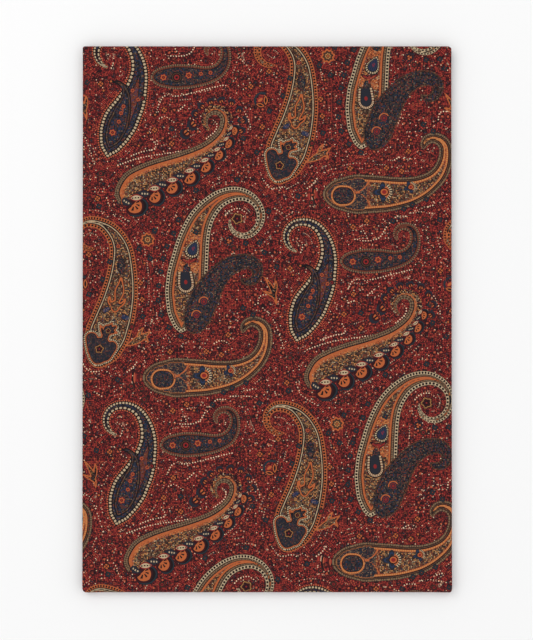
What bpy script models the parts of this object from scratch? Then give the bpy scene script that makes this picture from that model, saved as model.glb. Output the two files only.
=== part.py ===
"""Paisley scarf, hemmed all round and folded in four, lying flat on a table.

One strip of cloth, end to end: base stretch, fold at -Y, top stretch, fold at +Y, then two
stretches inside. Bottom to top the layers lie base, inner low, inner high, top.
Metres. X runs across the scarf, Y along it, Z up from the table.
"""

import math

import bmesh
import bpy

# The folded scarf
FOLDED_LENGTH = 0.444
NEAR = -FOLDED_LENGTH / 2  # the outer fold
FAR = FOLDED_LENGTH / 2  # the fold of the top stretch

# The cloth
CLOTH = 0.0012  # wall of the cloth
HEM = 0.0015  # wall through a rolled hem
HEM_WIDTH = 0.005  # a hem's full thickness reaches this far in
HEM_FADE = 0.014  # and has thinned to plain cloth here
HEM_ROUND = 0.00045  # rounding of every edge
GAP = 0.0003  # between layers, and at the seams between solids

# The long edges seen from above: the strip is a little wider at its near fold
EDGES = [
    {"y": NEAR, "left": -0.1502, "right": 0.1502},
    {"y": -0.060, "left": -0.1501, "right": 0.1500},
    {"y": 0.100, "left": -0.1499, "right": 0.1498},
    {"y": FAR, "left": -0.1498, "right": 0.1496},
]

# Radius of each corner seen from above
CORNERS = {
    "near": {"left": 0.0020, "right": 0.0012},
    "far": {"left": 0.0004, "right": 0.0015},
}

# Each layer's place in the pile, how far its long edges lie inside the top layer's, and its free end
LAYERS = {
    "top": {"level": 3, "left_in": 0.0, "right_in": 0.0},
    "inner_high": {"level": 2, "left_in": 0.0009, "right_in": 0.0015},
    "inner_low": {"level": 1, "left_in": 0.0019, "right_in": 0.0011, "end": 0.2186},
    "base": {"level": 0, "left_in": 0.0012, "right_in": 0.0006, "end": 0.2160},
}
TOP_LEVEL = 3

# The pile stands higher at its folds, where the cloth is springy
FOLD_RISE = {
    "near": {"height": 0.0016, "reach": 0.030},
    "far": {"height": 0.0011, "reach": 0.022},
}

# Soft swells (+) and hollows (-) of the top stretch: centre, half length and half width, turn
SWELLS = [
    {"x": -0.062, "y": 0.098, "long": 0.120, "wide": 0.045, "turn": 24, "rise": 0.00055},
    {"x": 0.071, "y": 0.041, "long": 0.105, "wide": 0.038, "turn": -16, "rise": -0.00025},
    {"x": 0.038, "y": -0.112, "long": 0.130, "wide": 0.042, "turn": 35, "rise": 0.00050},
    {"x": -0.078, "y": -0.074, "long": 0.095, "wide": 0.036, "turn": -28, "rise": -0.00022},
    {"x": 0.092, "y": 0.150, "long": 0.080, "wide": 0.034, "turn": 12, "rise": 0.00035},
]

# Where the solids of one cloth meet
FAR_RETURN = 0.014  # the top stretch turns under by this much at the far fold
NEAR_RETURN = 0.013  # and by this much at the near fold
FAR_FOLD = FAR - HEM / 2  # outermost line of each fold's middle surface
NEAR_FOLD = NEAR + HEM / 2
INNER_FOLD = NEAR_FOLD + HEM + GAP  # the inner fold lies just inside the outer one

# Stations: across from each edge, along the stretches, and in from each fold
FROM_EDGE = [0.0, 0.0024, 0.0060, 0.0095, 0.0145, 0.0320, 0.0600, 0.1020]
ALONG = [-0.190, -0.166, -0.130, -0.090, -0.048, -0.004, 0.040, 0.084, 0.124, 0.158, 0.182]
FROM_NEAR = [0.009, 0.018]
FROM_FAR = [0.006, 0.012, 0.020, 0.029]
FAR_RETURN_ROWS = [FAR_RETURN, 0.008, 0.004]
NEAR_STEPS = 10  # facets round the outer fold
TIGHT_STEPS = 8  # facets round the far fold and the inner one

# The block that joins the two inner layers away from their edges
JOIN = {"side_in": 0.0160, "near": -0.176, "far": 0.1995}

CLOTH_COLOUR = (0.128, 0.042, 0.033, 1.0)
INNER_COLOUR = (0.112, 0.036, 0.029, 1.0)
CLOTH_ROUGHNESS = 0.82


def smooth(t):
    t = min(1.0, max(0.0, t))
    return t * t * (3.0 - 2.0 * t)


def edge_at(y, side):
    """The top layer's long edge at y, before the corners round it."""
    for a, b in zip(EDGES, EDGES[1:]):
        if y <= b["y"]:
            break
    part = min(1.0, max(0.0, (y - a["y"]) / (b["y"] - a["y"])))
    return a[side] + part * (b[side] - a[side])


def corner_in(distance, radius):
    """How far a rounded corner pulls a long edge in, this far from the fold's outermost line."""
    if distance >= radius:
        return 0.0
    return radius - math.sqrt(radius**2 - (radius - distance) ** 2)


def across(y, layer, end, distance):
    """The stations of one row from the left edge to the right one."""
    left = edge_at(y, "left") + layer["left_in"] + corner_in(distance, CORNERS[end]["left"])
    right = edge_at(y, "right") - layer["right_in"] - corner_in(distance, CORNERS[end]["right"])
    row = [left + d for d in FROM_EDGE]
    row.append((left + right) / 2)
    row += [right - d for d in reversed(FROM_EDGE)]
    return row


def wall_at(x, y):
    """Thickness of cloth that the pile is spaced by: the hems lie on each other at the edges."""
    to_side = min(x - edge_at(y, "left"), edge_at(y, "right") - x)
    to_end = FAR - y
    hem = 1.0 - smooth((min(to_side, to_end) - HEM_WIDTH) / (HEM_FADE - HEM_WIDTH))
    return CLOTH + (HEM - CLOTH) * hem


def swell_at(x, y):
    total = 0.0
    for s in SWELLS:
        turn = math.radians(s["turn"])
        dx, dy = x - s["x"], y - s["y"]
        along = (dy * math.cos(turn) - dx * math.sin(turn)) / s["long"]
        over = (dx * math.cos(turn) + dy * math.sin(turn)) / s["wide"]
        total += s["rise"] * math.exp(-(along**2) - over**2)
    return total


def fold_rise(y):
    near, far = FOLD_RISE["near"], FOLD_RISE["far"]
    return near["height"] * (1.0 - smooth((y - NEAR) / near["reach"])) + far["height"] * (
        1.0 - smooth((FAR - y) / far["reach"])
    )


def height(x, y, level):
    """Height of a layer's middle surface over the table."""
    wall = wall_at(x, y)
    share = level / TOP_LEVEL
    return wall / 2 + level * (wall + GAP) + share * (fold_rise(y) + swell_at(x, y))


def flat_rows(ys, name, end):
    layer = LAYERS[name]
    rows = []
    for y in ys:
        distance = y - NEAR if end == "near" else FAR - y
        rows.append([(x, y, height(x, y, layer["level"])) for x in across(y, layer, end, distance)])
    return rows


def turn_rows(edge, from_name, to_name, steps, end):
    """Rows round a fold whose outermost line is at y = edge, from one layer over to another."""
    way = -1.0 if end == "near" else 1.0
    start, stop = LAYERS[from_name], LAYERS[to_name]
    rows = []
    for k in range(steps + 1):
        angle = math.pi * k / steps
        part = k / steps
        layer = {
            side: start[side] + part * (stop[side] - start[side]) for side in ("left_in", "right_in")
        }
        row = []
        for x in across(edge, layer, end, math.inf):
            high, low = height(x, edge, start["level"]), height(x, edge, stop["level"])
            radius = (high - low) / 2
            y = edge - way * radius * (1.0 - math.sin(angle))
            row.append((x, y, (high + low) / 2 + radius * math.cos(angle)))
        # the corners round each row in, more the nearer it is to the outermost line
        middle = row[len(row) // 2]
        xs = across(edge, layer, end, abs(edge - middle[1]))
        rows.append([(x, y, z) for x, (_, y, z) in zip(xs, row)])
    return rows


def sheet(name, rows, colour, collection, lifted=False, hem_rows=()):
    """A cloth surface through the rows, thickened to a wall that is fuller along its hems."""
    mesh = bpy.data.meshes.new(name)
    bm = bmesh.new()
    grid = [[bm.verts.new(p) for p in row] for row in rows]
    for a, b in zip(grid, grid[1:]):
        for i in range(len(a) - 1):
            bm.faces.new((a[i], a[i + 1], b[i + 1], b[i]))
    bmesh.ops.recalc_face_normals(bm, faces=bm.faces)
    bm.faces.ensure_lookup_table()
    if lifted and bm.faces[0].normal.z < 0:
        bmesh.ops.reverse_faces(bm, faces=bm.faces)
    bm.to_mesh(mesh)
    bm.free()
    mesh.materials.append(cloth_material(name, colour))
    piece = bpy.data.objects.new(name, mesh)
    collection.objects.link(piece)

    full = piece.vertex_groups.new(name="wall")
    count = len(rows[0])
    for j, row in enumerate(rows):
        for i in range(count):
            from_edge = min(row[i][0] - row[0][0], row[-1][0] - row[i][0])
            side = 1.0 - smooth((from_edge - HEM_WIDTH) / (HEM_FADE - HEM_WIDTH))
            wall = CLOTH + (HEM - CLOTH) * max(side, 1.0 if j in hem_rows else 0.0)
            full.add([j * count + i], wall / HEM, "REPLACE")

    solid = piece.modifiers.new("Cloth wall", "SOLIDIFY")
    solid.thickness = HEM
    solid.offset = 1.0 if lifted else 0.0
    solid.use_even_offset = True
    solid.vertex_group = full.name
    rounded = piece.modifiers.new("Rolled edge", "BEVEL")
    rounded.width = HEM_ROUND
    rounded.segments = 2
    rounded.limit_method = "ANGLE"
    rounded.angle_limit = math.radians(50)
    rounded.use_clamp_overlap = False
    return piece


def cloth_material(name, colour):
    material = bpy.data.materials.new(name)
    material.use_nodes = True
    shader = material.node_tree.nodes["Principled BSDF"]
    shader.inputs["Base Color"].default_value = colour
    shader.inputs["Roughness"].default_value = CLOTH_ROUGHNESS
    shader.inputs["Metallic"].default_value = 0.0
    return material


def make_top(collection):
    """The stretch that shows from above, with both folds it ends in."""
    rows = flat_rows([FAR - d for d in FAR_RETURN_ROWS], "inner_high", "far")
    rows += list(reversed(turn_rows(FAR_FOLD, "top", "inner_high", TIGHT_STEPS, "far")))
    rows += flat_rows([FAR - d for d in FROM_FAR], "top", "far")
    rows += flat_rows(list(reversed(ALONG)), "top", "far")
    rows += flat_rows([NEAR + d for d in reversed(FROM_NEAR)], "top", "near")
    rows += turn_rows(NEAR_FOLD, "top", "base", NEAR_STEPS, "near")
    rows += flat_rows([NEAR + FROM_NEAR[0], NEAR + NEAR_RETURN], "base", "near")
    return sheet("top_stretch", rows, CLOTH_COLOUR, collection)


def make_base(collection):
    """The stretch that rests on the table, from the outer fold to its hemmed free end."""
    end = LAYERS["base"]["end"]
    ys = [NEAR + NEAR_RETURN + GAP] + ALONG + [end - HEM_FADE, end - HEM_WIDTH, end]
    rows = [[(x, y, 0.0) for x, y, _ in row] for row in flat_rows(ys, "base", "far")]
    hem_rows = (len(rows) - 1, len(rows) - 2)
    return sheet("base_stretch", rows, CLOTH_COLOUR, collection, lifted=True, hem_rows=hem_rows)


def make_inner(collection, helpers):
    """Both hidden stretches: one solid, parted along its edges, with a hemmed free end."""
    end = LAYERS["inner_low"]["end"]
    high = [FAR - FAR_RETURN - GAP] + list(reversed(ALONG))
    low = ALONG + [end - HEM_FADE, end - HEM_WIDTH, end]
    near = [NEAR + d for d in FROM_NEAR]
    rows = flat_rows(high, "inner_high", "far")
    rows += flat_rows(list(reversed(near)), "inner_high", "near")
    rows += turn_rows(INNER_FOLD, "inner_high", "inner_low", TIGHT_STEPS, "near")
    rows += flat_rows(near, "inner_low", "near")
    rows += flat_rows(low, "inner_low", "far")
    hem_rows = (len(rows) - 1, len(rows) - 2)
    piece = sheet("inner_stretches", rows, INNER_COLOUR, collection, hem_rows=hem_rows)

    # the block reaches from the middle of one wall to the middle of the other
    left = EDGES[-1]["left"] + JOIN["side_in"]
    right = EDGES[-1]["right"] - JOIN["side_in"]
    low_z = height(0.0, 0.0, LAYERS["inner_low"]["level"])
    high_z = height(0.0, 0.0, LAYERS["inner_high"]["level"])
    bpy.ops.mesh.primitive_cube_add(
        size=1.0,
        location=((left + right) / 2, (JOIN["near"] + JOIN["far"]) / 2, (low_z + high_z) / 2),
    )
    block = bpy.context.object
    block.name = "inner_join"
    block.scale = (right - left, JOIN["far"] - JOIN["near"], high_z - low_z)
    block.hide_render = True
    block.display_type = "WIRE"
    for home in list(block.users_collection):
        home.objects.unlink(block)
    helpers.objects.link(block)

    joined = piece.modifiers.new("Joined layers", "BOOLEAN")
    joined.operation = "UNION"
    joined.solver = "EXACT"
    joined.object = block
    return piece


def main():
    for old in list(bpy.data.objects):
        bpy.data.objects.remove(old, do_unlink=True)
    scarf = bpy.data.collections.new("paisley_scarf")
    helpers = bpy.data.collections.new("helpers")
    bpy.context.scene.collection.children.link(scarf)
    bpy.context.scene.collection.children.link(helpers)
    make_top(scarf)
    make_base(scarf)
    make_inner(scarf, helpers)


main()
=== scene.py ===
import math

import bpy
import numpy as np
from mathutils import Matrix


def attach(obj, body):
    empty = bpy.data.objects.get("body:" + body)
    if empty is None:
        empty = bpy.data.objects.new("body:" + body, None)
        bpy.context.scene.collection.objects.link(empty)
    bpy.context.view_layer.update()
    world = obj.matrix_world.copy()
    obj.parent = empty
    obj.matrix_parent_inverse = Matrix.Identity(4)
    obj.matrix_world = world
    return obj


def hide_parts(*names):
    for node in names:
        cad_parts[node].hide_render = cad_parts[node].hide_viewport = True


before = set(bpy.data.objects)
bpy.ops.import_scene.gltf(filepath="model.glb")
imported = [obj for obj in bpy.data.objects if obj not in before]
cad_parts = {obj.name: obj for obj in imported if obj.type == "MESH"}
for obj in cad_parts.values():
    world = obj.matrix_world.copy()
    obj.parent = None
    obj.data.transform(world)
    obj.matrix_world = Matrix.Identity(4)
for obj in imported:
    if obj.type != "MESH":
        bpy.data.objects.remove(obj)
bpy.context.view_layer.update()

# The folded scarf, in metres. X runs across it, Y along it, Z up from the table.
folding = {
    "near": -0.222,  # the outer fold
    "far": 0.222,  # the fold of the top stretch
    "wall": 0.0012,  # room that each layer of cloth takes
    "hem": 0.0015,  # thickness of a rolled hem
    "hemWidth": 0.005,
    "hemFade": 0.014,  # the hem has thinned to plain cloth here
    "gap": 0.0003,
    "edges": {"y": [-0.222, -0.060, 0.100, 0.222],
              "left": [-0.1502, -0.1501, -0.1499, -0.1498],
              "right": [0.1502, 0.1500, 0.1498, 0.1496]},
    "corners": {"near": {"left": 0.0020, "right": 0.0012}, "far": {"left": 0.0004, "right": 0.0015}},
    "layers": {"top": {"level": 3, "left": 0.0, "right": 0.0},
               "innerHigh": {"level": 2, "left": 0.0009, "right": 0.0015},
               "innerLow": {"level": 1, "left": 0.0019, "right": 0.0011, "end": 0.2186},
               "base": {"level": 0, "left": 0.0012, "right": 0.0006, "end": 0.2160}},
    "topLevel": 3,
    "rise": {"near": {"height": 0.0016, "reach": 0.030}, "far": {"height": 0.0011, "reach": 0.022}},
    "farReturn": 0.014,
    "nearReturn": 0.013,
    "innerStart": 0.018,
}

# Soft swells (+) and hollows (-) of the pile: centre x and y, half length, half width, turn in degrees, rise
swells = [
    (-0.062, 0.098, 0.12, 0.045, 24, 0.00055),
    (0.071, 0.041, 0.105, 0.038, -16, -0.00025),
    (0.038, -0.112, 0.13, 0.042, 35, 0.00050),
    (-0.078, -0.074, 0.095, 0.036, -28, -0.00022),
    (0.092, 0.15, 0.08, 0.034, 12, 0.00035),
]

# Faint creases of the top stretch, on top of the swells: soft ridges (+) and troughs (-)
creases = [
    (0.004, -0.02, 0.19, 0.0042, 0.8, -0.00016),
    (-0.103, 0.202, 0.034, 0.005, -14, 0.00022),
    (0.046, 0.206, 0.028, 0.006, 17, 0.00018),
    (0.121, -0.196, 0.036, 0.0055, 21, 0.00026),
    (-0.034, -0.2, 0.031, 0.0065, -19, 0.00022),
    (-0.132, -0.15, 0.042, 0.0048, 11, -0.00016),
    (0.088, 0.0, 0.064, 0.007, 74, 0.00014),
    (-0.06, 0.03, 0.082, 0.008, 66, -0.00012),
]

farFold = folding["far"] - folding["hem"] / 2
nearFold = folding["near"] + folding["hem"] / 2
innerFold = nearFold + folding["hem"] + folding["gap"]


def smooth(t):
    t = np.clip(t, 0.0, 1.0)
    return t * t * (3.0 - 2.0 * t)


def edgeAt(y, side):
    return np.interp(y, folding["edges"]["y"], folding["edges"][side])


def cornerIn(distance, radius):
    # how far a rounded corner pulls a long edge in, this far from the fold
    reach = np.clip(radius - distance, 0.0, radius)
    return radius - np.sqrt(radius**2 - reach**2)


def wallAt(x, y):
    toSide = np.minimum(x - edgeAt(y, "left"), edgeAt(y, "right") - x)
    inset = np.minimum(toSide, folding["far"] - y)
    hem = 1.0 - smooth((inset - folding["hemWidth"]) / (folding["hemFade"] - folding["hemWidth"]))
    return folding["wall"] + (folding["hem"] - folding["wall"]) * hem


def softForms(rows, x, y):
    total = np.zeros(np.broadcast(x, y).shape)
    for centreX, centreY, long, wide, turn, rise in rows:
        c, s = math.cos(math.radians(turn)), math.sin(math.radians(turn))
        dx, dy = x - centreX, y - centreY
        total = total + rise * np.exp(-((dy * c - dx * s) / long) ** 2 - ((dx * c + dy * s) / wide) ** 2)
    return total


def foldRise(y):
    near, far = folding["rise"]["near"], folding["rise"]["far"]
    nearShare = 1.0 - smooth((y - folding["near"]) / near["reach"])
    farShare = 1.0 - smooth((folding["far"] - y) / far["reach"])
    return near["height"] * nearShare + far["height"] * farShare


def heightOf(x, y, level):
    # middle of a layer over the table
    wall = wallAt(x, y)
    share = level / folding["topLevel"]
    return wall / 2 + level * (wall + folding["gap"]) + share * (foldRise(y) + softForms(swells, x, y))


# How finely each piece is modelled, in metres, and how its hems roll under
sheetDetail = {
    "topAcross": 240,
    "topStep": 0.00125,
    "baseAcross": 124,
    "baseStep": 0.0024,
    "innerInsets": [0.0, 0.006, 0.014, 0.026, 0.05, 0.09, 0.16, 0.27, 0.38, 0.5],  # shares of the width
    "innerStep": 0.003,
    "hemRoll": [0.25, 0.5, 0.75, 1.0],  # shares of a half turn
    "hemUnder": [0.0018, 0.0042],
    "turnSteps": {"near": 12, "far": 6, "inner": 6},
    "foldRoom": {"near": 0.0050, "far": 0.0022, "return": 0.0030},  # flat rows stop this far from a fold
    "returnStep": {"near": 0.002, "far": 0.004},  # between rows of the top stretch under another layer
    "creaseFade": 0.010,
    "stitchLine": {"width": 0.0009, "depth": 0.00010},  # the shallow line beside each hem
    "ripples": [(0.00005, 210.0, 95.0, 0.4), (0.00004, -130.0, 240.0, 2.1), (0.00003, 330.0, 170.0, 4.0)],
    "bakeMargin": 0.005,
    "upperFrom": 0.006,  # the top stretch's face is higher than this, its turned-down rims lower
}


def hemSteps():
    # turn of the hem roll and reach under, from the edge's side to the stitches
    steps = [(math.pi * turn, 0.0) for turn in sheetDetail["hemRoll"]]
    return steps + [(math.pi, under) for under in sheetDetail["hemUnder"]]


def crossStations(shares):
    # stations across a sheet: (side, share of the width, turn of the hem roll, reach under)
    left = [(-1, 0.0, turn, under) for turn, under in reversed(hemSteps())]
    middle = [(0, share, 0.0, 0.0) for share in shares]
    right = [(1, 0.0, turn, under) for turn, under in hemSteps()]
    return np.array(left + middle + right)


def rowAt(form, y, start, stop, up, part=0.0, turn=0.0, under=0.0):
    # one row of a sheet: flat, part of a turn from one layer to another, or part of an end hem's roll
    return {"form": form, "y": y, "from": start, "to": stop, "up": up, "part": part, "turn": turn,
            "under": under, "end": "far" if y > 0 else "near"}


def sheetPoints(rows, stations, relief):
    # places of every row and station, with the print's own place across the cloth
    half = folding["hem"] / 2
    side, share, turn, under = stations.T
    places, across = [], []
    for row in rows:
        start, stop = folding["layers"][row["from"]], folding["layers"][row["to"]]
        inset = {s: start[s] + row["part"] * (stop[s] - start[s]) for s in ("left", "right")}
        corner = folding["corners"][row["end"]]
        way = -1.0 if row["end"] == "near" else 1.0
        distance = abs(folding[row["end"]] - row["y"])
        if row["form"] == "turn":
            angle = math.pi * row["part"]
            high, low = (heightOf(0.0, row["y"], layer["level"]) for layer in (start, stop))
            distance = (high - low) / 2 * (1.0 - math.sin(angle))
        left = edgeAt(row["y"], "left") + inset["left"] + cornerIn(distance, corner["left"])
        right = edgeAt(row["y"], "right") - inset["right"] - cornerIn(distance, corner["right"])
        wide = right - left - 2 * half
        x = left + half + wide * share
        x = np.where(side < 0, left + half - half * np.sin(turn) + under, x)
        x = np.where(side > 0, right - half + half * np.sin(turn) - under, x)
        out = np.where(side == 0, wallAt(x, row["y"]) / 2, half * np.cos(turn))
        w = np.where(side < 0, left + half - half * turn - under, x)
        w = np.where(side > 0, right - half + half * turn + under, w)
        if row["form"] == "turn":
            high = heightOf(x, row["y"], start["level"])
            low = heightOf(x, row["y"], stop["level"])
            radius = (high - low) / 2
            y = row["y"] - way * radius * (1.0 - math.sin(angle))
            z = (high + low) / 2 + radius * math.cos(angle)
            normal = (row["up"] * way * math.sin(angle), row["up"] * math.cos(angle))
        elif row["form"] == "hem":
            y = np.full_like(x, row["y"] - half - row["under"])
            z = heightOf(x, row["y"], start["level"])
            normal = (math.sin(row["turn"]), row["up"] * math.cos(row["turn"]))
            out = np.where(side == 0, half, out)
        else:
            y = np.full_like(x, row["y"])
            z = heightOf(x, row["y"], start["level"])
            normal = (0.0, row["up"])
            if relief and row["from"] == "top":
                inside = np.minimum(x - left, right - x)
                out = out + np.where(side == 0, reliefAt(x, y, inside), 0.0)
        places.append(np.stack([x, y + normal[0] * out, z + normal[1] * out], axis=1))
        across.append(w)
    return np.array(places), np.array(across)


def reliefAt(x, y, inside):
    # creases, the faint shallow line beside each hem, and fine ripples of the cloth
    total = softForms(creases, x, y)
    for height, alongX, alongY, shift in sheetDetail["ripples"]:
        total = total + height * np.sin(alongX * x + alongY * y + shift)
    line = sheetDetail["stitchLine"]
    stitched = np.exp(-((inside - folding["hemWidth"]) / line["width"]) ** 2)
    return total * smooth(inside / sheetDetail["creaseFade"]) - line["depth"] * stitched


def runningLength(points):
    steps = np.linalg.norm(np.diff(points, axis=0), axis=1)
    return np.concatenate([[0.0], np.cumsum(steps)])


def middleOf(places):
    return places[:, places.shape[1] // 2]


def makeSheet(name, places, flip):
    rows, count = places.shape[:2]
    first = np.arange(rows * count).reshape(rows, count)
    corners = [first[:-1, :-1], first[:-1, 1:], first[1:, 1:], first[1:, :-1]]
    if flip:
        corners.reverse()
    faces = np.stack([c.ravel() for c in corners], axis=1)
    mesh = bpy.data.meshes.new(name)
    mesh.from_pydata(places.reshape(-1, 3).tolist(), [], faces.tolist())
    mesh.update()
    mesh.shade_smooth()
    piece = bpy.data.objects.new(name, mesh)
    bpy.context.scene.collection.objects.link(piece)
    return piece


def addBakeMap(piece, across, along):
    # the sheet unrolled flat and scaled evenly into the unit square, for images baked from its material
    flat = np.stack([across, np.broadcast_to(along[:, None], across.shape)], axis=-1).reshape(-1, 2)
    flat = flat - flat.min(axis=0)
    margin = sheetDetail["bakeMargin"]
    flat = margin + (1 - 2 * margin) * flat / flat.max()
    corner = np.zeros(len(piece.data.loops), dtype=np.int32)
    piece.data.loops.foreach_get("vertex_index", corner)
    piece.data.uv_layers.new(name="OFBake").data.foreach_set("uv", flat[corner].astype(np.float32).ravel())


def flatRows(start, stop, step, layer, up):
    count = max(2, round(abs(stop - start) / step) + 1)
    return [rowAt("flat", y, layer, layer, up) for y in np.linspace(start, stop, count)]


def turnRows(edge, start, stop, steps, up=1):
    # a fold's half roll, from one layer to another
    return [rowAt("turn", edge, start, stop, up, part=k / steps) for k in range(steps + 1)]


def hemRows(layer, up):
    # the roll of a free end
    end = folding["layers"][layer]["end"]
    return [rowAt("hem", end, layer, layer, up, turn=turn, under=under) for turn, under in hemSteps()]


def topRows():
    far, near, steps = folding["far"], folding["near"], sheetDetail["turnSteps"]
    room, step = sheetDetail["foldRoom"], sheetDetail["returnStep"]
    rows = flatRows(far - folding["farReturn"], far - room["return"], step["far"], "innerHigh", -1)
    rows += reversed(turnRows(farFold, "top", "innerHigh", steps["far"]))
    rows += flatRows(farFold - room["far"], nearFold + room["near"], sheetDetail["topStep"], "top", 1)
    rows += turnRows(nearFold, "top", "base", steps["near"])
    return rows + flatRows(nearFold + room["near"], near + folding["nearReturn"], step["near"], "base", -1)


def baseRows():
    stop = folding["layers"]["base"]["end"] - folding["hem"] / 2
    rows = flatRows(folding["near"] + folding["nearReturn"], stop, sheetDetail["baseStep"], "base", -1)
    return rows + hemRows("base", -1)


def innerRows():
    start, step = folding["near"] + folding["innerStart"], sheetDetail["innerStep"]
    stop = folding["layers"]["innerLow"]["end"] - folding["hem"] / 2
    rows = flatRows(folding["far"] - folding["farReturn"], start, step, "innerHigh", -1)
    rows += turnRows(innerFold, "innerHigh", "innerLow", sheetDetail["turnSteps"]["inner"], -1)
    return rows + flatRows(start, stop, step, "innerLow", 1) + hemRows("innerLow", 1)


# The print, in millimetres on the flat cloth: x across it, y along it. It repeats by these two steps, as
# many times each way as "copies", where a copy is within "reach" of the cloth.
printLayout = {
    "first": (153.9, -149.8), "second": (7.4, -299.0), "copies": 9, "reach": 300.0,
    "outside": 30.0,  # how far outside the large paisleys their outlines are measured
    "nestedOutside": 4.0,  # the same for the shapes over and between them
    "ornamentOutside": 3.0,  # and for small ornaments and rows of pin dots
    "endReach": 2.0,  # rows of beads this near a round end keep their pitch
    "keptShare": 0.86,  # the bands that are kept fill this much of a half width, or less
    "leastRoom": 0.3,  # for the bands past them
    "softenings": 4,  # of the half widths along a spine
    "chunk": 8000,  # places measured at a time
}

# Large paisleys. A stroke is a spine from its round end to its tip, with half widths: start, heading,
# bends (length, turn to the left in degrees), half widths (along, half width). Bands run inward from the
# edge: (depth, ink, strength of the specks on it if any). Where the shape gets narrow, those past "kept"
# are thinned first. Inside them the core changes along the spine: (up to, ink, strength of its specks),
# and before the first figure of "plainStart" it takes the place of all bands deeper than the second.
# "room" is the share of the half width that the bands may fill. Bead rows: (distance from the edge,
# + outside), pitch, ink. Scallops line the right side of one shape, and its bands only the left.
largePaisleys = {
    "beaded": {
        "strokes": [
            ((24.6, -15.0), 76, [(37, -18), (29, 22), (26, 42), (23, 72), (31, 145)],
             [(0, 4.0), (9, 10.9), (19, 14.8), (28, 16.2), (45, 13.4), (58, 10.4), (73, 8.1), (86, 6.6),
              (97, 5.5), (109, 4.4), (130, 3.7), (140, 2.6), (144, 1.5)])],
        "bands": [(1.6, "black"), (4.3, "dark"), (5.0, "black"), (8.0, "navy", 0.9), (8.7, "black", 0.3)],
        "core": [(66, "rust", 0.8), (102, "navy", 0.7), (150, "black", 0.1)],
        "kept": 4.8, "specks": "blue", "beads": [(-3.0, 2.9, "cream"), (-0.6, 1.9, "ember")],
    },
    "small": {
        "strokes": [
            ((61.5, 47.3), 0, [(38, 2), (12, 22), (12, 46), (10, 30), (12, 82), (9, 70), (6, 60)],
             [(0, 1.6), (3, 5.7), (8, 8.3), (18, 10.2), (30, 9.6), (44, 7.1), (56, 5.7), (67, 4.3),
              (77, 3.5), (83, 2.9), (90, 2.5), (95, 1.8), (99, 0.8)])],
        "bands": [(1.0, "black"), (2.3, "brown", 0.5), (2.9, "black")],
        "core": [(90, "navy", 0.9)],
        "kept": 2.3, "specks": "cool", "beads": [(-0.55, 1.9, "sand"), (-1.75, 1.9, "rust")],
    },
    "scalloped": {
        "strokes": [
            ((-119.2, 96.2), 64, [(24, -38), (23, -6), (29, 10), (21, 18), (15, 38), (39, 250)],
             [(0, 2.4), (8, 9.6), (18, 12.6), (32, 12.2), (49, 11.0), (65, 9.2), (80, 7.2), (93, 5.9),
              (105, 5.5), (115, 5.1), (122, 4.5), (128, 4.1), (136, 3.4), (142, 2.6), (148, 1.5),
              (151, 0.5)])],
        "bands": [(0.4, "black"), (1.4, "brown", 0.4), (1.9, "black"), (3.4, "brown", 0.5), (4.3, "black"),
                  (6.6, "orange", 0.2), (8.2, "orange", 0.7)],
        "core": [(96, "brown", 1.0), (160, "maroon", 1.0)],
        "scalloped": True, "room": 1.2, "kept": 4.3, "beads": [(-1.0, 1.9, "sand"), (-2.7, 1.9, "sand")],
    },
    "with a heart": {
        "strokes": [
            ((7.0, 112.0), 68, [(41, 3), (40, 17), (12, 6), (24, 44), (16, 38), (16, 84), (13, 66),
              (9, 45)],
             [(0, 2.2), (8, 10.0), (18, 16.6), (28, 18.4), (41, 17.6), (60, 15.3), (81, 12.0), (93, 10.3),
              (105, 8.3), (117, 6.6), (125, 5.2), (133, 4.7), (149, 3.2), (162, 2.6), (168, 2.0),
              (171, 0.9)])],
        "bands": [(0.4, "rust", 0.2), (2.9, "orange", 0.1), (3.9, "black"), (4.7, "cream", 0.4),
                  (5.5, "black")],
        "core": [(180, "brown", 0.95)],
        "kept": 2.9, "beads": [(-1.75, 2.4, "black")],
    },
    "hooked": {
        "strokes": [
            ((-70.0, -7.7), 85, [(65, -5), (18, -9), (26, -31), (18, -35), (22, -64), (26, -89), (16, -80),
              (10, -50)],
             [(0, 3.2), (6, 8.4), (16, 13.4), (30, 16.6), (43, 17.0), (65, 14.4), (82, 11.8), (108, 8.0),
              (126, 6.4), (137, 5.0), (148, 4.1), (157, 3.7), (166, 3.4), (174, 3.1), (182, 2.5),
              (190, 2.1), (196, 1.5), (201, 0.7)])],
        "bands": [(0.5, "black"), (3.1, "cream"), (3.8, "black"), (5.4, "brown", 0.4), (6.0, "black"),
                  (7.5, "orange", 0.1), (8.1, "rust", 0.6)],
        "core": [(46, "brown", 0.95), (54, "orange", 0.9), (70, "rust", 0.95), (78, "orange", 0.9),
                 (132, "brown", 0.9), (210, "black", 0.2)],
        "kept": 3.6, "beads": [(-1.8, 2.6, "black"), (-4.6, 1.9, "sand")],
    },
    "with an oval": {
        "strokes": [
            ((-97.0, -47.3), 0, [(45, 0), (19, 10), (23.5, 28), (12, 26), (16, 30), (15.4, 84), (7.5, 54),
              (5, 40)],
             [(0, 2.4), (3, 8.1), (10, 13.0), (23, 16.5), (45, 15.0), (64, 12.4), (87, 8.3), (99, 6.9),
              (111, 6.0), (120, 5.6), (129, 4.8), (137, 4.2), (141, 3.2), (143.4, 1.5)])],
        "bands": [(0.4, "black"), (2.0, "brown", 0.5), (2.5, "black"), (3.3, "brown", 0.2), (4.1, "black"),
                  (5.7, "orange", 0.1), (6.2, "rust", 0.4)],
        "core": [(31, "navy", 0.4), (34, "rust", 0.8), (150, "brown", 1.0)],
        "kept": 3.9, "plainStart": (29.0, 4.1), "beads": [(-1.2, 1.9, "sand"), (-4.95, 1.8, "amber")],
    },
}

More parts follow.
